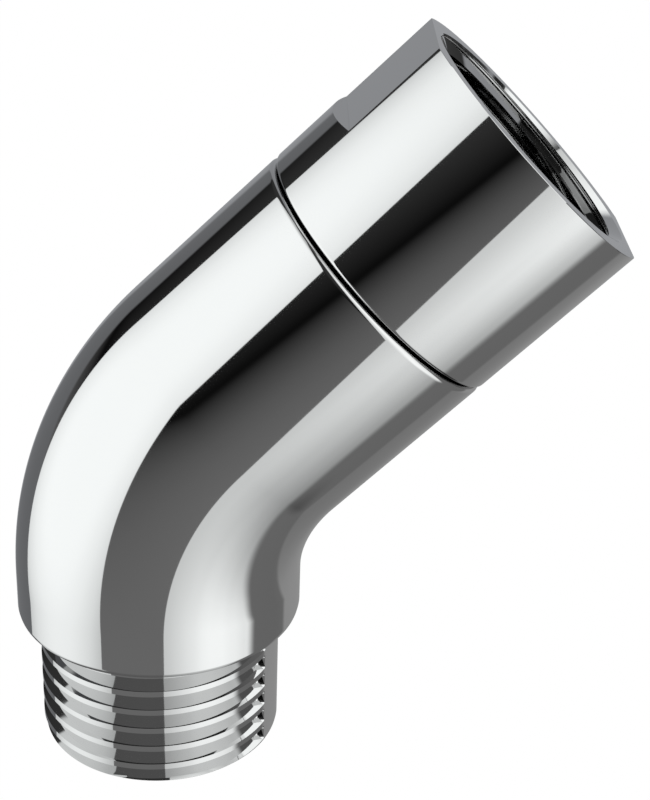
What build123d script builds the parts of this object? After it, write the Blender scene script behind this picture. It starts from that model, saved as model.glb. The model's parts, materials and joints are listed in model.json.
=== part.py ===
from build123d import *
import os
from math import degrees, radians, tan

# Outlet elbow with a male pipe thread below and a swivel nut above.
# The origin is the centre of the lower shoulder, where the male thread meets the body.
# The male thread points down, and the bend leans towards +X. All sizes are in millimetres.

# Pipe thread, half inch nominal, the same at both ends
thread_major_diameter = 20.955
thread_depth = 1.162

# Elbow body
male_thread_length = 12.25
male_end_chamfer = 0.2
shoulder_width = 1.81
lower_straight = 3.5
bend_radius = 23.0
bend_angle = 45.0
upper_straight = 15.96
waterway_diameter = 13.0
waterway_edge_chamfer = 0.4
shoulder_break_height = 0.25
shoulder_break_depth = 0.06
seam_edge_round = 0.46

# Spigot that carries the nut, measured along the outlet axis from the seam
spigot_wall = 2.0
spigot_land = 1.2
spigot_edge_chamfer = 0.3

# Snap ring in the spigot's groove
ring_wire_diameter = 1.4
ring_opening = 3.0
groove_depth = 0.7
groove_clearance = 0.05

# Rubber washer on the end of the spigot
washer_thickness = 2.0
washer_clearance = 0.07
washer_edge_chamfer = 0.2

# Swivel nut
seam_gap = 0.25
nut_length = 15.92
nut_turn = -3.1
lip_length = 2.5
lip_clearance = 0.1
lip_play = 0.1
chamber_clearance = 0.35
washer_headroom = 0.2
relief_width = 1.2
relief_depth = 0.12
mouth_clearance = 0.17
countersink_angle = 120.0
nut_rear_round = 0.24
nut_mouth_chamfer = 0.04
flat_depth = 0.988
flat_length = 9.13
flat_ramp_angle = 56.0

# Radii that follow from the driving sizes
thread_major_radius = thread_major_diameter / 2
thread_minor_radius = thread_major_radius - thread_depth
body_radius = thread_major_radius + shoulder_width
waterway_radius = waterway_diameter / 2
spigot_radius = waterway_radius + spigot_wall
wire_radius = ring_wire_diameter / 2
groove_floor_radius = spigot_radius - groove_depth
ring_radius = groove_floor_radius + groove_clearance + wire_radius
washer_radius = thread_minor_radius - washer_clearance
lip_bore_radius = spigot_radius + lip_clearance
chamber_radius = max(ring_radius + wire_radius, washer_radius) + chamber_clearance
relief_radius = thread_major_radius + relief_depth
mouth_radius = thread_major_radius + mouth_clearance

# Stations along the outlet axis, counted from the elbow's end face at the seam
nut_rear = seam_gap
lip_face = nut_rear + lip_length
ring_station = lip_face + lip_play + wire_radius
groove_start = ring_station - wire_radius - groove_clearance
groove_end = ring_station + wire_radius + groove_clearance
spigot_end = groove_end + spigot_land
washer_end = spigot_end + washer_thickness
chamber_end = washer_end + washer_headroom
relief_end = chamber_end + relief_width
mouth = nut_rear + nut_length
countersink_end = mouth - (mouth_radius - thread_minor_radius) / tan(radians(countersink_angle / 2))
flat_start = mouth - flat_length
flat_radius = body_radius - flat_depth

# Centreline of the outside of the elbow, from the lower shoulder to the seam
with BuildLine(Plane.XZ) as centreline:
    lower_leg = Line((0, 0), (0, lower_straight))
    bend = JernArc(lower_leg @ 1, lower_leg % 1, bend_radius, -bend_angle)
    upper_leg = PolarLine(bend @ 1, upper_straight, direction=bend % 1)

seam_centre = centreline.line @ 1
outlet_direction = centreline.line % 1
outlet_axis = Axis(seam_centre, outlet_direction)
outlet_side = Vector(0, 1, 0).cross(outlet_direction)

# In this section plane x is the distance from the outlet axis and y the station along it
outlet_section = Plane(seam_centre, x_dir=outlet_side, z_dir=(0, -1, 0))
flat_side = outlet_side.rotate(Axis((0, 0, 0), outlet_direction), nut_turn)
flat_section = Plane(seam_centre, x_dir=flat_side, z_dir=flat_side.cross(outlet_direction))

# Centreline of the waterway, from the male end face to the end of the spigot
with BuildLine(Plane.XZ) as waterway_line:
    inlet_leg = Line((0, -male_thread_length), (0, lower_straight))
    waterway_bend = JernArc(inlet_leg @ 1, inlet_leg % 1, bend_radius, -bend_angle)
    PolarLine(waterway_bend @ 1, upper_straight + spigot_end, direction=waterway_bend % 1)

with BuildPart() as elbow_body:
    # Round outside of the bend, with a round at the seam and a steep edge break at the shoulder
    with BuildSketch(Plane.XY):
        Circle(body_radius)
    sweep(path=centreline.line)
    shoulder_face, seam_face = elbow_body.faces().filter_by(GeomType.PLANE).sort_by(Axis.Z)
    fillet(seam_face.edges(), seam_edge_round)
    chamfer(shoulder_face.edges(), shoulder_break_depth, shoulder_break_height, reference=shoulder_face)
    # Male end, turned to the thread's major diameter
    with BuildSketch(Plane.XZ):
        with BuildLine():
            Polyline(
                (0, 0),
                (thread_major_radius, 0),
                (thread_major_radius, male_end_chamfer - male_thread_length),
                (thread_major_radius - male_end_chamfer, -male_thread_length),
                (0, -male_thread_length),
                close=True,
            )
        make_face()
    revolve(axis=Axis.Z)
    # Spigot at the seam, with the groove for the ring
    with BuildSketch(outlet_section):
        with BuildLine():
            Polyline(
                (0, 0),
                (spigot_radius, 0),
                (spigot_radius, groove_start),
                (groove_floor_radius, groove_start),
                (groove_floor_radius, groove_end),
                (spigot_radius, groove_end),
                (spigot_radius, spigot_end - spigot_edge_chamfer),
                (spigot_radius - spigot_edge_chamfer, spigot_end),
                (0, spigot_end),
                close=True,
            )
        make_face()
    revolve(axis=outlet_axis)
    # Waterway through the whole length
    with BuildSketch(Plane.XY.offset(-male_thread_length)):
        Circle(waterway_radius)
    sweep(path=waterway_line.line, mode=Mode.SUBTRACT)
    male_end = elbow_body.faces().sort_by(Axis.Z)[0]
    chamfer(male_end.inner_wires().edges(), waterway_edge_chamfer)
elbow_body.part.label = "elbow_body"

with BuildPart() as swivel_nut:
    # Half section of the nut: lip, ring chamber, relief, thread bore and mouth
    with BuildSketch(outlet_section):
        with BuildLine():
            Polyline(
                (lip_bore_radius, nut_rear),
                (body_radius, nut_rear),
                (body_radius, mouth),
                (mouth_radius, mouth),
                (thread_minor_radius, countersink_end),
                (thread_minor_radius, relief_end),
                (relief_radius, relief_end),
                (relief_radius, chamber_end),
                (chamber_radius, chamber_end),
                (chamber_radius, lip_face),
                (lip_bore_radius, lip_face),
                close=True,
            )
        make_face()
    revolve(axis=outlet_axis)
    outer_edges = swivel_nut.edges().filter_by(GeomType.CIRCLE).group_by(SortBy.RADIUS)[-1]
    rear_edge, mouth_edge = outer_edges.sort_by(outlet_axis)
    fillet(rear_edge, nut_rear_round)
    chamfer(mouth_edge, nut_mouth_chamfer)
    # Two wrench flats on the outer half, each ending in a ramp
    ramp_radius = body_radius + flat_depth
    ramp_start = flat_start - (ramp_radius - flat_radius) / tan(radians(flat_ramp_angle))
    with BuildSketch(flat_section):
        with BuildLine():
            Polyline(
                (flat_radius, flat_start),
                (flat_radius, mouth + flat_depth),
                (ramp_radius, mouth + flat_depth),
                (ramp_radius, ramp_start),
                close=True,
            )
        make_face()
        mirror(about=Plane.YZ)
    extrude(amount=body_radius, both=True, mode=Mode.SUBTRACT)
swivel_nut.part.label = "swivel_nut"

with BuildPart() as snap_ring:
    with BuildSketch(outlet_section):
        with Locations((ring_radius, ring_station)):
            Circle(wire_radius)
    revolve(axis=outlet_axis, revolution_arc=360 - degrees(ring_opening / ring_radius))
snap_ring.part.label = "snap_ring"

with BuildPart() as seal_washer:
    with BuildSketch(outlet_section):
        with BuildLine():
            Polyline(
                (waterway_radius, spigot_end),
                (washer_radius, spigot_end),
                (washer_radius, washer_end),
                (waterway_radius, washer_end),
                close=True,
            )
        make_face()
    revolve(axis=outlet_axis)
    chamfer(seal_washer.edges().filter_by(GeomType.CIRCLE), washer_edge_chamfer)
seal_washer.part.label = "seal_washer"

os.makedirs("parts", exist_ok=True)
for piece in (elbow_body, swivel_nut, snap_ring, seal_washer):
    export_step(piece.part, f"parts/{piece.part.label}.step")
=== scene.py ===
"""Looks of a chrome outlet elbow with a male pipe thread and a swivel nut, in a small photo studio.

Sizes are in millimetres, as on the part, and become metres when a mesh is made.
Angles round an axis start at the side that the elbow bends to, and stations run along that axis.
"""

import json
from math import acos, ceil, cos, floor, pi, radians, sin, tan

import bmesh
import bpy
from mathutils import Matrix, Vector


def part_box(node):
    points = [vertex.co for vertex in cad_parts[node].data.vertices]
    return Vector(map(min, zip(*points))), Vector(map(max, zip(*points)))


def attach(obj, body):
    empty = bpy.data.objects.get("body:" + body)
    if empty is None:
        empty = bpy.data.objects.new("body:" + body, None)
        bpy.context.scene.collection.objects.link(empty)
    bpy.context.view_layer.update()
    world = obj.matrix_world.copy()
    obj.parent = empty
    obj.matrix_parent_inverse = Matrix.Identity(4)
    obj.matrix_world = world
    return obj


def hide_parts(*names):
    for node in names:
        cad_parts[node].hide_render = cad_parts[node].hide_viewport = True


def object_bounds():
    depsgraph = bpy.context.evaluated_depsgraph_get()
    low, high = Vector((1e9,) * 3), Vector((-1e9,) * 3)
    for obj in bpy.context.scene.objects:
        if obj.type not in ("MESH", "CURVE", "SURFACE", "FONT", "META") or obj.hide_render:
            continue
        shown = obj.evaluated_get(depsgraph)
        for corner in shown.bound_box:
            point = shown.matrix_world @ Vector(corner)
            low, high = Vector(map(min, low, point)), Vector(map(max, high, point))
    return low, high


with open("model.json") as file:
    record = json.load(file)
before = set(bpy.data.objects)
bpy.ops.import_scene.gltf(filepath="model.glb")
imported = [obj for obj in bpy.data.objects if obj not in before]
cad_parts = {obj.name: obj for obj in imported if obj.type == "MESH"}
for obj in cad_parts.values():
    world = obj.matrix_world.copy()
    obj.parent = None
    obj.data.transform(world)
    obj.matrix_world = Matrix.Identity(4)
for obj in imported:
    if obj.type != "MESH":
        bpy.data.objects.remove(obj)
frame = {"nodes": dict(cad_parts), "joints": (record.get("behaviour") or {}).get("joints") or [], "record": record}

cad_low, cad_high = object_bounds()

METRES = 0.001
TURN = 2 * pi

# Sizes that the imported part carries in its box, its mounts and its joint
mounts = {mount["name"]: mount for mount in frame["record"]["mounts"]}
swivel = frame["joints"][0]
body_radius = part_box("elbow_body")[1].y / METRES
male_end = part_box("elbow_body")[0].z / METRES
thread_major = mounts["male_thread"]["dims"]["r_mm"]
thread_minor = mounts["female_thread"]["dims"]["r_mm"]
seam_centre = Vector(swivel["pos_m"]) / METRES
outlet_direction = Vector(swivel["axis"]).normalized()

# Elbow body
lower_straight = 3.5
bend_radius = 23.0
bend_angle = radians(45)
upper_straight = 15.96
waterway_radius = 6.5
waterway_edge_chamfer = 0.4
shoulder_break_height = 0.25
shoulder_break_depth = 0.06
seam_edge_round = 0.46
male_end_chamfer = 0.2
spigot_radius = 8.5
groove_floor_radius = 7.8
groove_start = 2.8
groove_end = 4.3
spigot_end = 5.5
spigot_edge_chamfer = 0.3

# Swivel nut, with stations counted from the seam
nut_rear = 0.25
nut_mouth = 16.17
lip_bore_radius = 8.6
lip_face = 2.75
chamber_radius = 9.6
chamber_end = 7.7
relief_radius = 10.5975
relief_end = 8.9
mouth_radius = 10.6475
countersink_slope = tan(radians(60))
nut_rear_round = 0.24
nut_mouth_chamfer = 0.04
flat_radius = 11.2995
flat_start = 7.04
flat_ramp_slope = tan(radians(56))
nut_turn = radians(-3.1)

# Turns of both threads: a flat crest, straight flanks and a rounded root
thread_pitch = 1.895
thread_crest_width = 0.54
thread_flank_angle = radians(27.5)
thread_root_round = 0.08
male_crest_at_front = -1.13
female_crest_at_front = 13.8
thread_runout = 0.5

# Smooth land across the male thread, as turns away from the front
land_start = radians(60)
land_end = radians(118)
land_fade = radians(2)

# How finely the meshes are cut
COLUMNS = 360
ROUND_STEPS = 8
BEND_STEPS = 48
THREAD_STEPS = 4
SUPPORT = 0.06
SHARP_ANGLE = radians(18)
MERGE_DISTANCE = 1e-7
RIM_TOLERANCE = 0.003
SMALL = 1e-9

# Cutter for the countersink: the hole along its middle, and its height above the mouth
SINK_CORE = 0.1
SINK_RISE = 1

FRONT = -pi / 2
UP = Vector((0, 0, 1))
DEPTH_AXIS = Vector((0, 1, 0))


def elbow_place(station):
    """Point on the elbow's centreline, with the two directions across it."""
    bend_length = bend_radius * bend_angle
    turned = min(max(station - lower_straight, 0), bend_length) / bend_radius
    forward = Vector((sin(turned), 0, cos(turned)))
    side = Vector((cos(turned), 0, -sin(turned)))
    if station <= lower_straight:
        return UP * station, side, DEPTH_AXIS
    point = Vector((bend_radius * (1 - cos(turned)), 0, lower_straight + bend_radius * sin(turned)))
    return point + forward * max(station - lower_straight - bend_length, 0), side, DEPTH_AXIS


def outlet_place(station):
    """Point on the nut's axis, with the two directions across it, turned as the nut is."""
    level_side = DEPTH_AXIS.cross(outlet_direction)
    side = level_side * cos(nut_turn) + DEPTH_AXIS * sin(nut_turn)
    depth = DEPTH_AXIS * cos(nut_turn) - level_side * sin(nut_turn)
    return seam_centre + outlet_direction * station, side, depth


def place_points(place, angles, stations, radii):
    """Points round an axis, one for each angle."""
    points = []
    for angle, station, radius in zip(angles, stations, radii):
        centre, side, depth = place(station)
        points.append((centre + side * (radius * cos(angle)) + depth * (radius * sin(angle))) * METRES)
    return points


class Skin:
    """Rings of points round an axis that are joined, one to the next, into a closed mesh."""

    def __init__(self, place, angles):
        self.place = place
        self.angles = angles
        self.mesh = bmesh.new()
        self.first_ring = None
        self.last_ring = None

    def points(self, stations, radii):
        places = place_points(self.place, self.angles, stations, radii)
        return [self.mesh.verts.new(point) for point in places]

    def uneven_ring(self, stations, radii):
        """Adds a ring with a station and a radius of its own for each angle."""
        ring = self.points(stations, radii)
        if self.last_ring:
            self.join(self.last_ring, ring)
        self.first_ring = self.first_ring or ring
        self.last_ring = ring

    def ring(self, station, radius):
        self.uneven_ring([station] * len(self.angles), [radius] * len(self.angles))

    def join(self, first, second):
        for here in range(len(first)):
            there = (here + 1) % len(first)
            self.mesh.faces.new((first[here], first[there], second[there], second[here]))

    def profile(self, corners):
        for station, radius in corners:
            self.ring(station, radius)

    def finish(self, name):
        """Merges the rings that meet and makes an object of the mesh."""
        bmesh.ops.remove_doubles(self.mesh, verts=self.mesh.verts, dist=MERGE_DISTANCE)
        bmesh.ops.recalc_face_normals(self.mesh, faces=self.mesh.faces)
        mesh = bpy.data.meshes.new(name)
        self.mesh.to_mesh(mesh)
        self.mesh.free()
        mesh.shade_smooth()
        mesh.set_sharp_from_angle(angle=SHARP_ANGLE)
        made = bpy.data.objects.new(name, mesh)
        bpy.context.collection.objects.link(made)
        return made


def cut_away(piece, cutter):
    """Takes the cutter's form out of a piece and drops the cutter."""
    cut = piece.modifiers.new("cut", "BOOLEAN")
    cut.operation = "DIFFERENCE"
    cut.solver = "EXACT"
    cut.object = cutter
    shaped = piece.evaluated_get(bpy.context.evaluated_depsgraph_get())
    mesh = bpy.data.meshes.new_from_object(shaped)
    piece.modifiers.clear()
    piece.data = mesh
    mesh.shade_smooth()
    mesh.set_sharp_from_angle(angle=SHARP_ANGLE)
    bpy.data.objects.remove(cutter)


def arc(station, radius, size, start, end):
    """Corners of a rounded edge about a centre at that station and radius."""
    steps = [start + (end - start) * step / ROUND_STEPS for step in range(ROUND_STEPS + 1)]
    return [(station + size * sin(angle), radius + size * cos(angle)) for angle in steps]


def steps_between(low, high, count):
    return [low + (high - low) * step / count for step in range(count + 1)]


class Thread:
    """A right-hand thread whose crest crosses the front at a given station."""

    def __init__(self, crest_radius, inward, crest_at_front):
        self.crest_radius = crest_radius
        self.inward = inward
        self.crest_at_front = crest_at_front
        self.half_crest = thread_crest_width / 2
        self.half_pitch = thread_pitch / 2
        self.arc_start = self.half_pitch - thread_root_round * cos(thread_flank_angle)
        flank_depth = (self.arc_start - self.half_crest) / tan(thread_flank_angle)
        self.arc_depth = flank_depth - thread_root_round * sin(thread_flank_angle)
        crest = steps_between(-self.half_crest, self.half_crest, THREAD_STEPS)
        fall = steps_between(self.half_crest, self.arc_start, THREAD_STEPS)
        root = steps_between(self.arc_start, thread_pitch - self.arc_start, 2 * THREAD_STEPS)
        rise = steps_between(thread_pitch - self.arc_start, thread_pitch - self.half_crest, THREAD_STEPS)
        self.rows = crest[:-1] + fall[:-1] + root[:-1] + rise[:-1]

    def depth(self, away):
        """Depth below the crest at a distance, along the axis, from the middle of the crest."""
        if away <= self.half_crest:
            return 0
        if away <= self.arc_start:
            return (away - self.half_crest) / tan(thread_flank_angle)
        from_root = self.half_pitch - away
        return self.arc_depth + (thread_root_round ** 2 - from_root ** 2) ** 0.5

    def radius(self, angle, station):
        turns = (station - self.crest_at_front) / thread_pitch - (angle - FRONT) / TURN
        away = abs(turns - floor(turns + 0.5)) * thread_pitch
        return self.crest_radius - self.inward * self.depth(away)

    def cut(self, skin, low, high, limit):
        """Adds the turns between two stations, each point kept within its limit."""
        first_turn = floor((low - self.crest_at_front) / thread_pitch) - 2
        last_turn = ceil((high - self.crest_at_front) / thread_pitch) + 2
        bases = [self.crest_at_front + turn * thread_pitch + row
                 for turn in range(first_turn, last_turn)
                 for row in self.rows]
        rows = []
        for base in bases:
            stations = [base + thread_pitch * (angle - FRONT) / TURN for angle in skin.angles]
            rows.append(self.row(skin, [min(max(station, low), high) for station in stations], limit))
        shift = len(self.rows)
        for here in range(len(rows) - 1 - shift):
            for column in range(len(skin.angles)):
                beside = (column + 1) % len(skin.angles)
                skip = shift if beside == 0 else 0
                skin.mesh.faces.new((
                    rows[here][column],
                    rows[here + skip][beside],
                    rows[here + 1 + skip][beside],
                    rows[here + 1][column],
                ))

    def row(self, skin, stations, limit):
        places = zip(skin.angles, stations)
        radii = [limit(angle, station, self.radius(angle, station)) for angle, station in places]
        return skin.points(stations, radii)

    def end_ring(self, skin, station, limit):
        """Adds the ring where the turns stop at a station."""
        radii = [limit(angle, station, self.radius(angle, station)) for angle in skin.angles]
        skin.uneven_ring([station] * len(radii), radii)


def even_angles():
    return [FRONT + TURN * column / COLUMNS for column in range(COLUMNS)]


def make_elbow():
    """The elbow with its male thread, shoulder, bend, spigot and waterway."""
    skin = Skin(elbow_place, even_angles())
    seam = lower_straight + bend_radius * bend_angle + upper_straight
    thread = Thread(thread_major, 1, male_crest_at_front)

    def male_limit(angle, station, radius):
        chamfered = thread_major - max(male_end + male_end_chamfer - station, 0)
        turned = angle - FRONT
        land_rise = max((turned - land_start) / land_fade, 0)
        land_fall = max((land_end - turned) / land_fade, 0)
        on_land = min(land_rise, land_fall, 1)
        depth_left = min(max(-station / thread_runout, 0), 1)
        run_out = thread_major - (thread_major - radius) * depth_left
        land_floor = thread_minor + (thread_major - thread_minor) * on_land
        end_floor = thread_major - male_end_chamfer - (station - male_end) / tan(thread_flank_angle)
        return min(max(run_out, land_floor, end_floor), chamfered)

    thread.cut(skin, male_end, 0, male_limit)
    thread.end_ring(skin, 0, male_limit)
    skin.ring(0, body_radius - shoulder_break_depth)
    skin.ring(shoulder_break_height, body_radius)
    skin.ring(shoulder_break_height + SUPPORT, body_radius)
    bend_start = lower_straight
    bend_end = lower_straight + bend_radius * bend_angle
    for station in steps_between(bend_start, bend_end, BEND_STEPS):
        skin.ring(station, body_radius)
    edge = body_radius - seam_edge_round
    skin.ring(seam - seam_edge_round - SUPPORT, body_radius)
    skin.profile(arc(seam - seam_edge_round, edge, seam_edge_round, 0, pi / 2))
    skin.ring(seam, edge - SUPPORT)
    skin.profile((
        (seam, spigot_radius),
        (seam + groove_start, spigot_radius),
        (seam + groove_start, groove_floor_radius),
        (seam + groove_end, groove_floor_radius),
        (seam + groove_end, spigot_radius),
        (seam + spigot_end - spigot_edge_chamfer, spigot_radius),
        (seam + spigot_end, spigot_radius - spigot_edge_chamfer),
        (seam + spigot_end, waterway_radius),
    ))
    for station in reversed(steps_between(bend_start, bend_end, BEND_STEPS // 2)):
        skin.ring(station, waterway_radius)
    skin.ring(male_end + waterway_edge_chamfer, waterway_radius)
    skin.ring(male_end, waterway_radius + waterway_edge_chamfer)
    thread.end_ring(skin, male_end, male_limit)
    return skin.finish("chrome_elbow")


def nut_angles():
    """Angles round the nut, with columns on the edges of its two flats."""
    flat_edge = acos(flat_radius / body_radius)
    corners = [-flat_edge, flat_edge, pi - flat_edge, pi + flat_edge, TURN - flat_edge]
    angles = []
    for low, high in zip(corners, corners[1:]):
        angles += steps_between(low, high, round(COLUMNS * (high - low) / TURN))[:-1]
    return angles


def make_nut():
    """The swivel nut with its wrench flats, mouth, female thread, ring chamber and lip."""
    angles = nut_angles()
    skin = Skin(outlet_place, angles)
    thread = Thread(thread_minor, -1, female_crest_at_front)

    def across(angle):
        return abs(cos(angle)) * body_radius

    def flat_limit(angle, radius):
        return min(radius, flat_radius / max(abs(cos(angle)), SMALL))

    def ramp_foot(angle):
        rise = across(angle) - flat_radius
        if rise > -SMALL:
            return flat_start - max(rise, 0) / flat_ramp_slope
        return flat_start - min(-rise, 1) * SUPPORT

    skin.ring(nut_rear, lip_bore_radius)
    edge = body_radius - nut_rear_round
    skin.ring(nut_rear, edge - SUPPORT)
    skin.profile(arc(nut_rear + nut_rear_round, edge, nut_rear_round, -pi / 2, 0))
    skin.ring(nut_rear + nut_rear_round + SUPPORT, body_radius)
    skin.uneven_ring([ramp_foot(angle) for angle in angles], [body_radius] * len(angles))
    on_flats = [flat_limit(angle, body_radius) for angle in angles]
    skin.uneven_ring([flat_start] * len(angles), on_flats)
    mouth_edge = body_radius - nut_mouth_chamfer
    skin.uneven_ring([nut_mouth - nut_mouth_chamfer] * len(angles), on_flats)
    skin.uneven_ring([nut_mouth] * len(angles), [flat_limit(angle, mouth_edge) for angle in angles])

    def as_cut(angle, station, radius):
        return radius

    thread.end_ring(skin, nut_mouth, as_cut)
    thread.cut(skin, relief_end, nut_mouth, as_cut)
    skin.last_ring = None
    thread.end_ring(skin, relief_end, as_cut)
    skin.profile((
        (relief_end, relief_radius),
        (chamber_end, relief_radius),
        (chamber_end, chamber_radius),
        (lip_face, chamber_radius),
        (lip_face, lip_bore_radius),
        (nut_rear, lip_bore_radius),
    ))
    nut = skin.finish("chrome_nut")
    sink = Skin(outlet_place, even_angles())
    deep = nut_mouth - (mouth_radius - waterway_radius) / countersink_slope
    above = nut_mouth + SINK_RISE
    sink.profile((
        (deep, SINK_CORE),
        (deep, waterway_radius),
        (above, mouth_radius + SINK_RISE * countersink_slope),
        (above, SINK_CORE),
    ))
    sink.join(sink.last_ring, sink.first_ring)
    cut_away(nut, sink.finish("countersink"))
    crisp_countersink(nut)
    return nut


def crisp_countersink(nut):
    """Marks the countersink's edges, since the thread's flanks have nearly its slope."""
    shape = bmesh.new()
    shape.from_mesh(nut.data)

    def on_countersink(face):
        away = face.calc_center_median() / METRES - seam_centre
        station = away.dot(outlet_direction)
        radius = (away - outlet_direction * station).length
        return abs(mouth_radius - radius - (nut_mouth - station) * countersink_slope) < RIM_TOLERANCE

    for edge in shape.edges:
        if len({on_countersink(face) for face in edge.link_faces}) > 1:
            edge.smooth = False
    shape.to_mesh(nut.data)
    shape.free()


class Nodes:
    """A short way to write a material's nodes."""

    def __init__(self, material):
        material.use_nodes = True
        self.tree = material.node_tree
        self.tree.nodes.clear()

    def add(self, kind, **settings):
        node = self.tree.nodes.new(kind)
        for name, value in settings.items():
            setattr(node, name, value)
        return node

    def feed(self, socket, value):
        if isinstance(value, bpy.types.NodeSocket):
            self.tree.links.new(value, socket)
        else:
            socket.default_value = value

    def math(self, operation, *values):
        node = self.add("ShaderNodeMath", operation=operation)
        for socket, value in zip(node.inputs, values):
            self.feed(socket, value)
        return node.outputs["Value"]

    def blend(self, share, low, high):
        """Goes from low to high as share goes from 0 to 1."""
        node = self.add("ShaderNodeMix", data_type="FLOAT")
        for name, value in (("Factor", share), ("A", low), ("B", high)):
            self.feed(node.inputs[name], value)
        return node.outputs["Result"]

    def step(self, value, low, high):
        """Rises smoothly from 0 at low to 1 at high, or falls if low is the higher."""
        node = self.add("ShaderNodeMapRange", interpolation_type="SMOOTHSTEP")
        for name, number in (("Value", value), ("From Min", low), ("From Max", high)):
            self.feed(node.inputs[name], number)
        return node.outputs["Result"]

    def all_of(self, first, *others):
        """Share of what lies within every one of several shares."""
        for other in others:
            first = self.math("MULTIPLY", first, other)
        return first

    def show(self, shader):
        """Makes a shader what the material shows."""
        output = self.add("ShaderNodeOutputMaterial")
        self.feed(output.inputs["Surface"], shader)


# Finishes: scale and detail of the noise, tones along it, and roughness from low to high
PLATE_CLOUD = (180, 3)
PLATE_ROUGHNESS = (0.025, 0.05)
WIRE_CLOUD = (900, 4)
WIRE_TONES = ((0.3, (0.34, 0.33, 0.32)), (0.7, (0.5, 0.49, 0.47)))
WIRE_ROUGHNESS = (0.22, 0.4)
RUBBER_GRAIN = (2200, 2)
RUBBER_BLOOM = (260, 2)
RUBBER_TONES = ((0.35, (0.013, 0.013, 0.014)), (0.75, (0.03, 0.03, 0.031)))
RUBBER_ROUGHNESS = (0.5, 0.75)
GRAIN_STRENGTH = 0.15
GRAIN_HEIGHT = 0.00005


def cloud_on(nodes, scale, detail):
    """Noise that is fixed to the piece."""
    place = nodes.add("ShaderNodeTexCoord")
    cloud = nodes.add("ShaderNodeTexNoise")
    nodes.feed(cloud.inputs["Vector"], place.outputs["Object"])
    nodes.feed(cloud.inputs["Scale"], scale)
    nodes.feed(cloud.inputs["Detail"], detail)
    return cloud.outputs["Fac"]


def make_chrome(name, colour):
    """Bright plate with a slight unevenness of gloss."""
    material = bpy.data.materials.new(name)
    nodes = Nodes(material)
    shader = nodes.add("ShaderNodeBsdfPrincipled")
    shader.inputs["Base Color"].default_value = (*colour, 1)
    shader.inputs["Metallic"].default_value = 1
    cloud = cloud_on(nodes, *PLATE_CLOUD)
    nodes.feed(shader.inputs["Roughness"], nodes.blend(cloud, *PLATE_ROUGHNESS))
    nodes.show(shader.outputs["BSDF"])
    return material


def make_spring_steel(name):
    """Drawn wire, with patches where the draw was duller."""
    material = bpy.data.materials.new(name)
    nodes = Nodes(material)
    shader = nodes.add("ShaderNodeBsdfPrincipled")
    shader.inputs["Metallic"].default_value = 1
    cloud = cloud_on(nodes, *WIRE_CLOUD)
    nodes.feed(shader.inputs["Base Color"], ramp_by(nodes, cloud, WIRE_TONES))
    nodes.feed(shader.inputs["Roughness"], nodes.blend(cloud, *WIRE_ROUGHNESS))
    nodes.show(shader.outputs["BSDF"])
    return material


def make_rubber(name):
    """Black moulded rubber with a fine grain and a little bloom on its surface."""
    material = bpy.data.materials.new(name)
    nodes = Nodes(material)
    shader = nodes.add("ShaderNodeBsdfPrincipled")
    bloom = cloud_on(nodes, *RUBBER_BLOOM)
    nodes.feed(shader.inputs["Base Color"], ramp_by(nodes, bloom, RUBBER_TONES))
    nodes.feed(shader.inputs["Roughness"], nodes.blend(bloom, *RUBBER_ROUGHNESS))
    bump = nodes.add("ShaderNodeBump")
    bump.inputs["Strength"].default_value = GRAIN_STRENGTH
    bump.inputs["Distance"].default_value = GRAIN_HEIGHT
    nodes.feed(bump.inputs["Height"], cloud_on(nodes, *RUBBER_GRAIN))
    nodes.feed(shader.inputs["Normal"], bump.outputs["Normal"])
    nodes.show(shader.outputs["BSDF"])
    return material


CHROME_COLOUR = (0.56, 0.56, 0.56)
NEUTRAL = (1, 1, 1)
LEFT_TINT = (0.975, 1, 0.996)
RIGHT_TINT = (0.979, 1, 0.995)
BACK_TINT = (0.975, 1, 1.045)

# The curve by which a camera records light: a straight toe, then a power
WHITE_LEVEL = 255
TOE_END = 0.04045
TOE_SLOPE = 12.92
CURVE_SHIFT = 0.055
CURVE_POWER = 2.4


def grey(level):
    """Light that a camera records as this level, from 0 to 255, when the chrome shows it."""
    share = level / WHITE_LEVEL
    if share < TOE_END:
        linear = share / TOE_SLOPE
    else:
        linear = ((share + CURVE_SHIFT) / (1 + CURVE_SHIFT)) ** CURVE_POWER
    return linear / CHROME_COLOUR[1]


def even(level, tint=NEUTRAL):
    """Light of one level all over a panel."""
    return (*[grey(level) * part for part in tint], 1)


def ramp_by(nodes, value, stops):
    """Colour that changes with a value, through stops of value and colour."""
    low = stops[0][0]
    high = stops[-1][0]
    place = nodes.add("ShaderNodeMapRange")
    for name, number in (("Value", value), ("From Min", low), ("From Max", high)):
        nodes.feed(place.inputs[name], number)
    ramp = nodes.add("ShaderNodeValToRGB")
    points = ramp.color_ramp.elements
    while len(points) < len(stops):
        points.new(1)
    for point, (at, colour) in zip(points, stops):
        point.position = (at - low) / (high - low)
        point.color = (*colour, 1)
    nodes.feed(ramp.inputs["Fac"], place.outputs["Result"])
    return ramp.outputs["Color"]


def levels_by(nodes, value, stops, tint=NEUTRAL):
    """Light that changes with a value, through stops of value and level."""
    return ramp_by(nodes, value, [(at, [grey(level) * part for part in tint]) for at, level in stops])


def shares_by(nodes, value, stops):
    """Share that changes with a value, through stops of value and share."""
    return ramp_by(nodes, value, [(at, (share, share, share)) for at, share in stops])


def angles_by(nodes, value, stops):
    """Angle that changes with a value, through stops of value and angle, in degrees."""
    angles = [angle for at, angle in stops]
    low = min(angles)
    reach = max(angles) - low
    share = shares_by(nodes, value, [(at, (angle - low) / reach) for at, angle in stops])
    return nodes.math("MULTIPLY_ADD", share, reach, low)


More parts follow.
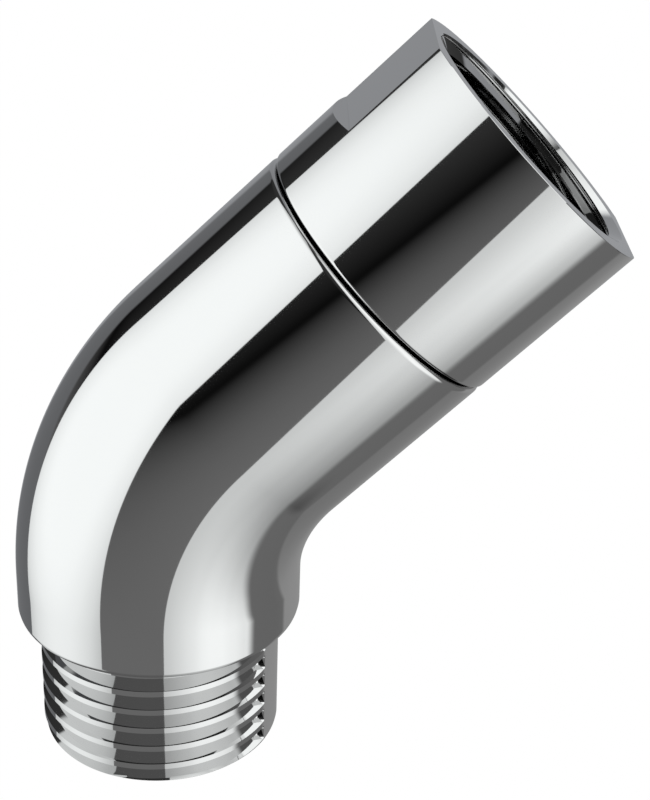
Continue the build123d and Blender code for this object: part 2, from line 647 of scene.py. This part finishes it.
def scaled(nodes, light, share):
    """Light dimmed to a share of itself."""
    node = nodes.add("ShaderNodeMix", data_type="RGBA", blend_type="MULTIPLY")
    for socket, value in ((node.inputs[0], 1), (node.inputs[6], light), (node.inputs[7], share)):
        nodes.feed(socket, value)
    return node.outputs[2]


def covered(nodes, light, panel, share):
    """Light with a panel in front of it where share is 1."""
    node = nodes.add("ShaderNodeMix", data_type="RGBA")
    for socket, value in ((node.inputs[0], share), (node.inputs[6], light), (node.inputs[7], panel)):
        nodes.feed(socket, value)
    return node.outputs[2]


# Studio panels as the part sees them. Azimuth runs from the camera's side to the right and elevation
# upwards, both in degrees. A level is what the camera records where the chrome mirrors that place.
# A table goes through stops of an angle and what holds there. A pair is an edge, from outside to inside.
SOFT_EDGE = 3

ROOM_LEVELS = (
    (-61, 82), (-46, 93), (-36, 99.5), (-28, 95.5), (-20, 91), (-12, 83.5), (-8, 77.5), (-4, 69.5),
    (-2, 65), (0, 59), (2, 52), (4, 43), (5, 36.5), (6, 28.5), (7, 17), (8, 11), (9, 13), (10, 16),
    (12, 21.5), (16, 29), (21, 37), (26, 43), (90, 50))
FLOOR_LEVELS = ((-180, 98), (85, 98), (112, 95.5), (120, 97), (180, 97))
FLOOR_SIDE = (70, 78)
FLOOR_END = ((110, 3), (122, 18))
FAR_FLOOR_LEVELS = ((-60, 108), (-52, 112), (-46, 118), (-40, 126), (-34, 130), (-20, 132))
FAR_FLOOR_DIMMING = ((125, 1), (140, 0.96), (150, 0.9), (165, 0.82))
FOLD_AZIMUTH = 136.5
FOLD_LEAN = 0.37

BACKDROP_LEVELS = (
    (-180, 124), (-163, 124), (-159, 93), (0, 93), (150, 124), (161, 130), (180, 126))
BACKDROP_DIMMING = ((-61, 0.68), (-51, 0.79), (-46, 0.865), (-36, 1))
SLANT_SLOPE = 1.24
SLANT_AZIMUTH = 126
SLANT_DROP = 10
SLANT_OUTER = (-163, -161)
SLANT_INNER = (-99, -101)
FAR_LEFT = (-160, -162)
FAR_RIGHT = (156.6, 157.2)
FAR_RIGHT_FOOT = (-32, -24)

WALL_LEVELS = ((117, 130), (150, 130), (158, 128), (180, 126))
WALL_SIDE = (117.3, 118.3)
WALL_FOOT = (
    (117, 14), (120, 12), (125.6, 6.8), (132, 1.5), (135.4, 0.3), (138.6, 0), (142.2, -1.7), (149, -5),
    (156.5, -8), (157.5, -24))
WALL_FOOT_BLUR = 0.8
WALL_TOP = (25, 24)
SHADE_LEVELS = ((-10, 47), (10, 40), (24, 27))
SHADE_FOOT = (-16, -12)
SHADE_TOP = (42, 38)
SHADE_END = (157.2, 156.6)

LEFT_AZIMUTH = -83.8
LEFT_ELEVATION = 3.9
LEFT_WIDTH = 56.3
LEFT_HEIGHT = 61.7
LEFT_LEVELS = (
    (0.3, 247.6), (0.42, 247.1), (0.5, 244.6), (0.65, 234.5), (0.8, 216.5), (0.95, 187), (1.1, 180))
LEFT_OUTER = (
    (-37, 123.4), (-28, 123.5), (-18, 124), (-5, 124.5), (3, 124.55), (10, 124.8), (18, 125), (22, 125.5),
    (26, 125.9), (31, 126.7), (36, 125.9), (39, 124.4), (42, 122.3), (44, 121.9), (46, 121.9))
LEFT_OUTER_BLUR = 0.3
LEFT_INNER = (-45.2, -45.8)
LEFT_FOOT = (-50, -46)

RIGHT_LEVELS = (
    (-75, 105), (-61, 150), (-56, 168), (-51, 190), (-46, 212), (-41, 232), (-36, 244), (-30, 248),
    (52, 248), (75, 200))
RIGHT_FALLOFF = (
    (7, 0.62), (10, 0.65), (14, 0.70), (18, 0.745), (24, 0.82), (30, 0.875), (36, 0.96), (42, 1), (54, 1),
    (60, 0.955), (66, 0.93), (70, 0.885), (74, 0.84), (90, 0.86), (110, 0.97))
RIGHT_OUTER = (
    (-61, 70), (-52, 74), (-42, 79), (-37, 80), (-33, 82.5), (17.5, 82.5), (19.5, 115.5), (25, 116.2),
    (29, 116.9), (33, 118.5), (36.5, 121), (46, 122), (50.5, 119.5), (57, 115.7), (75, 105.3))
RIGHT_SOFTNESS = (
    (-61, 1), (-42, 0.75), (-36, 0.625), (0, 0.31), (18, 0.1), (28, 0.2), (33, 0.3), (38, 0.35), (48, 0.2))
RIGHT_OUTER_BLUR = 8
RIGHT_INNER = (4.9, 5.5)

LAMP_LEVELS = ((125, 200), (129, 207), (137, 229), (144, 239), (150, 239))
LAMP_FOOT = ((120, 35.3), (132, 35.4), (138, 34), (144, 30.3), (152.6, 23.7), (158, 19))
LAMP_FOOT_BLUR = 1.5
LAMP_SIDE = ((37, 123.4), (50.5, 117.5), (75, 103.3))
LAMP_SIDE_BLUR = 0.5
LAMP_END = (159, 157)
GLARE_LEVEL = 241
GLARE_FOOT = (40, 46)

CEILING_LEVEL = 76
CEILING_EDGE = (74, 78)
GROUND_LEVEL = 45
GROUND_EDGE = (-62.5, -66.5)


def aims(nodes):
    """Azimuth and elevation of each point of the tent, in degrees."""
    place = nodes.add("ShaderNodeTexCoord")
    aim = nodes.add("ShaderNodeVectorMath", operation="NORMALIZE")
    nodes.feed(aim.inputs[0], place.outputs["Object"])
    split = nodes.add("ShaderNodeSeparateXYZ")
    nodes.feed(split.inputs["Vector"], aim.outputs["Vector"])
    ahead = nodes.math("MULTIPLY", split.outputs["Y"], -1)
    azimuth = nodes.math("DEGREES", nodes.math("ARCTAN2", split.outputs["X"], ahead))
    elevation = nodes.math("DEGREES", nodes.math("ARCSINE", split.outputs["Z"]))
    return azimuth, elevation


def light_room(nodes, azimuth, elevation):
    """A dark room with dim walls, and a grey floor that is brighter to the back right."""
    far_level = levels_by(nodes, elevation, FAR_FLOOR_LEVELS)
    far_light = scaled(nodes, far_level, shares_by(nodes, azimuth, FAR_FLOOR_DIMMING))
    fold = nodes.math("MULTIPLY_ADD", elevation, FOLD_LEAN, FOLD_AZIMUTH)
    beyond_fold = nodes.step(nodes.math("SUBTRACT", azimuth, fold), -SOFT_EDGE, SOFT_EDGE)
    floor_light = covered(nodes, levels_by(nodes, azimuth, FLOOR_LEVELS), far_light, beyond_fold)
    past_end = nodes.math("ADD", angles_by(nodes, azimuth, FLOOR_END), elevation)
    on_floor = nodes.all_of(nodes.step(azimuth, *FLOOR_SIDE), nodes.step(past_end, SOFT_EDGE, -SOFT_EDGE))
    return covered(nodes, levels_by(nodes, elevation, ROOM_LEVELS), floor_light, on_floor)


def add_backdrop(nodes, azimuth, elevation, light):
    """A grey backdrop behind, with a slanting top edge on the left."""
    backdrop = levels_by(nodes, azimuth, BACKDROP_LEVELS, BACK_TINT)
    dimming = shares_by(nodes, elevation, BACKDROP_DIMMING)
    slant_end = SLANT_SLOPE * SLANT_AZIMUTH + SLANT_DROP
    slant = nodes.math("MULTIPLY_ADD", azimuth, SLANT_SLOPE, slant_end)
    left_part = nodes.all_of(
        nodes.step(nodes.math("ADD", elevation, slant), SOFT_EDGE, -SOFT_EDGE),
        nodes.step(azimuth, *SLANT_OUTER),
        nodes.step(azimuth, *SLANT_INNER),
    )
    far_left = nodes.step(azimuth, *FAR_LEFT)
    far_right = nodes.all_of(nodes.step(azimuth, *FAR_RIGHT), nodes.step(elevation, *FAR_RIGHT_FOOT))
    behind = nodes.math("MAXIMUM", nodes.math("MAXIMUM", left_part, far_left), far_right)
    return covered(nodes, light, scaled(nodes, backdrop, dimming), behind)


def add_side_wall(nodes, azimuth, elevation, light):
    """A grey wall past the right box, with dark shade below its foot and above its top."""
    past_box = nodes.step(azimuth, *WALL_SIDE)
    in_shade = nodes.all_of(
        nodes.step(elevation, *SHADE_FOOT),
        nodes.step(elevation, *SHADE_TOP),
        nodes.step(azimuth, *SHADE_END),
        past_box,
    )
    light = covered(nodes, light, levels_by(nodes, elevation, SHADE_LEVELS), in_shade)
    past_foot = nodes.math("SUBTRACT", elevation, angles_by(nodes, azimuth, WALL_FOOT))
    on_wall = nodes.all_of(
        nodes.step(past_foot, -WALL_FOOT_BLUR, WALL_FOOT_BLUR),
        nodes.step(elevation, *WALL_TOP),
        past_box,
    )
    return covered(nodes, light, levels_by(nodes, azimuth, WALL_LEVELS, BACK_TINT), on_wall)


def add_left_box(nodes, azimuth, elevation, light):
    """A tall soft box on the left, brightest in its middle."""
    across = nodes.math("MULTIPLY_ADD", azimuth, 1 / LEFT_WIDTH, -LEFT_AZIMUTH / LEFT_WIDTH)
    along = nodes.math("MULTIPLY_ADD", elevation, 1 / LEFT_HEIGHT, -LEFT_ELEVATION / LEFT_HEIGHT)
    squares = nodes.math("ADD", nodes.math("POWER", across, 2), nodes.math("POWER", along, 2))
    box = levels_by(nodes, nodes.math("SQRT", squares), LEFT_LEVELS, LEFT_TINT)
    past_outer = nodes.math("ADD", azimuth, angles_by(nodes, elevation, LEFT_OUTER))
    on_box = nodes.all_of(
        nodes.step(past_outer, -LEFT_OUTER_BLUR, LEFT_OUTER_BLUR),
        nodes.step(azimuth, *LEFT_INNER),
        nodes.step(elevation, *LEFT_FOOT),
    )
    return covered(nodes, light, box, on_box)


def add_right_box(nodes, azimuth, elevation, light):
    """A tall soft box on the right, whose outer edge leans and is softest at its foot."""
    level = levels_by(nodes, elevation, RIGHT_LEVELS, RIGHT_TINT)
    box = scaled(nodes, level, shares_by(nodes, azimuth, RIGHT_FALLOFF))
    past_outer = nodes.math("SUBTRACT", azimuth, angles_by(nodes, elevation, RIGHT_OUTER))
    softened = nodes.math("DIVIDE", past_outer, shares_by(nodes, elevation, RIGHT_SOFTNESS))
    within = nodes.step(softened, RIGHT_OUTER_BLUR, -RIGHT_OUTER_BLUR)
    return covered(nodes, light, box, nodes.all_of(within, nodes.step(azimuth, *RIGHT_INNER)))


def add_lamp(nodes, azimuth, elevation, light):
    """A lamp high up behind on the right, with a soft lower edge."""
    lamp = levels_by(nodes, azimuth, LAMP_LEVELS, RIGHT_TINT)
    lamp = covered(nodes, lamp, even(GLARE_LEVEL, RIGHT_TINT), nodes.step(elevation, *GLARE_FOOT))
    past_foot = nodes.math("SUBTRACT", elevation, angles_by(nodes, azimuth, LAMP_FOOT))
    past_side = nodes.math("SUBTRACT", azimuth, angles_by(nodes, elevation, LAMP_SIDE))
    on_lamp = nodes.all_of(
        nodes.step(past_foot, -LAMP_FOOT_BLUR, LAMP_FOOT_BLUR),
        nodes.step(past_side, -LAMP_SIDE_BLUR, LAMP_SIDE_BLUR),
        nodes.step(azimuth, *LAMP_END),
    )
    return covered(nodes, light, lamp, on_lamp)


def make_studio_material():
    """Two tall soft boxes, a dark camera side between them and a grey room behind."""
    material = bpy.data.materials.new("studio_panels")
    nodes = Nodes(material)
    azimuth, elevation = aims(nodes)
    light = light_room(nodes, azimuth, elevation)
    for add_panel in (add_backdrop, add_side_wall, add_left_box, add_right_box, add_lamp):
        light = add_panel(nodes, azimuth, elevation, light)
    light = covered(nodes, light, even(CEILING_LEVEL), nodes.step(elevation, *CEILING_EDGE))
    light = covered(nodes, light, even(GROUND_LEVEL), nodes.step(elevation, *GROUND_EDGE))
    glow = nodes.add("ShaderNodeEmission")
    nodes.feed(glow.inputs["Color"], light)
    nodes.show(glow.outputs["Emission"])
    return material


STUDIO_RADIUS = 5.0
TENT_COLUMNS = 96
TENT_ROWS = 48
FLOOR_DROP = 5.2
FLOOR_SIZE = 60.0
WHITE = (1, 1, 1, 1)


def make_studio(centre):
    """The tent of soft panels that the chrome mirrors, and a pale floor under it."""
    mesh = bpy.data.meshes.new("studio_tent")
    shape = bmesh.new()
    bmesh.ops.create_uvsphere(shape, u_segments=TENT_COLUMNS, v_segments=TENT_ROWS, radius=STUDIO_RADIUS)
    shape.to_mesh(mesh)
    shape.free()
    mesh.materials.append(make_studio_material())
    tent = bpy.data.objects.new("studio_tent", mesh)
    tent.location = centre
    tent.visible_camera = False
    tent.visible_diffuse = False
    tent.visible_shadow = False
    bpy.context.collection.objects.link(tent)

    floor_mesh = bpy.data.meshes.new("studio_floor")
    shape = bmesh.new()
    bmesh.ops.create_grid(shape, x_segments=1, y_segments=1, size=FLOOR_SIZE)
    shape.to_mesh(floor_mesh)
    shape.free()
    pale = bpy.data.materials.new("pale_floor")
    nodes = Nodes(pale)
    matt = nodes.add("ShaderNodeBsdfDiffuse")
    matt.inputs["Color"].default_value = WHITE
    nodes.show(matt.outputs["BSDF"])
    floor_mesh.materials.append(pale)
    ground = bpy.data.objects.new("studio_floor", floor_mesh)
    ground.location = centre - UP * FLOOR_DROP
    bpy.context.collection.objects.link(ground)

    world = bpy.data.worlds.new("studio_air")
    world.use_nodes = True
    background = world.node_tree.nodes["Background"]
    background.inputs["Color"].default_value = WHITE
    background.inputs["Strength"].default_value = 1
    bpy.context.scene.world = world


# Camera, fitted to the outline of the body, the seam and the two rims in the photograph
PHOTO_HEIGHT = 800
SENSOR = 36
CLIP_NEAR = 0.005
CLIP_FAR = 100
camera_azimuth = radians(-3.2621)
camera_elevation = radians(27.2058)
camera_roll = radians(1.9073)
camera_distance = 148.1541
camera_focus_pixels = 1778.5005
camera_target = Vector((13.9781, 0, 19.3582))


def make_camera():
    data = bpy.data.cameras.new("photo_camera")
    data.sensor_width = SENSOR
    data.lens = camera_focus_pixels * SENSOR / PHOTO_HEIGHT
    data.clip_start = CLIP_NEAR
    data.clip_end = CLIP_FAR
    camera = bpy.data.objects.new("photo_camera", data)
    back = Vector((
        sin(camera_azimuth) * cos(camera_elevation),
        -cos(camera_azimuth) * cos(camera_elevation),
        sin(camera_elevation),
    ))
    right = Vector((cos(camera_azimuth), sin(camera_azimuth), 0))
    up = back.cross(right)
    rolled_right = right * cos(camera_roll) + up * sin(camera_roll)
    rolled_up = up * cos(camera_roll) - right * sin(camera_roll)
    turn = Matrix((rolled_right, rolled_up, back)).transposed()
    stand = (camera_target + back * camera_distance) * METRES
    camera.matrix_world = Matrix.Translation(stand) @ turn.to_4x4()
    bpy.context.collection.objects.link(camera)
    bpy.context.scene.camera = camera


elbow = make_elbow()
elbow.data.materials.append(make_chrome("body_chrome_plate", CHROME_COLOUR))
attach(elbow, "elbow")
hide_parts("elbow_body")

nut = make_nut()
nut.data.materials.append(make_chrome("nut_chrome_plate", CHROME_COLOUR))
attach(nut, "nut")
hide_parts("swivel_nut")

hidden_finishes = {
    "snap_ring": make_spring_steel("ring_spring_steel"),
    "seal_washer": make_rubber("washer_rubber_mix"),
}
for piece, finish in hidden_finishes.items():
    hidden_part = frame["nodes"][piece]
    hidden_part.data.materials.clear()
    hidden_part.data.materials.append(finish)

make_studio((cad_low + cad_high) / 2)
make_camera()
bpy.context.scene.view_settings.view_transform = "Standard"
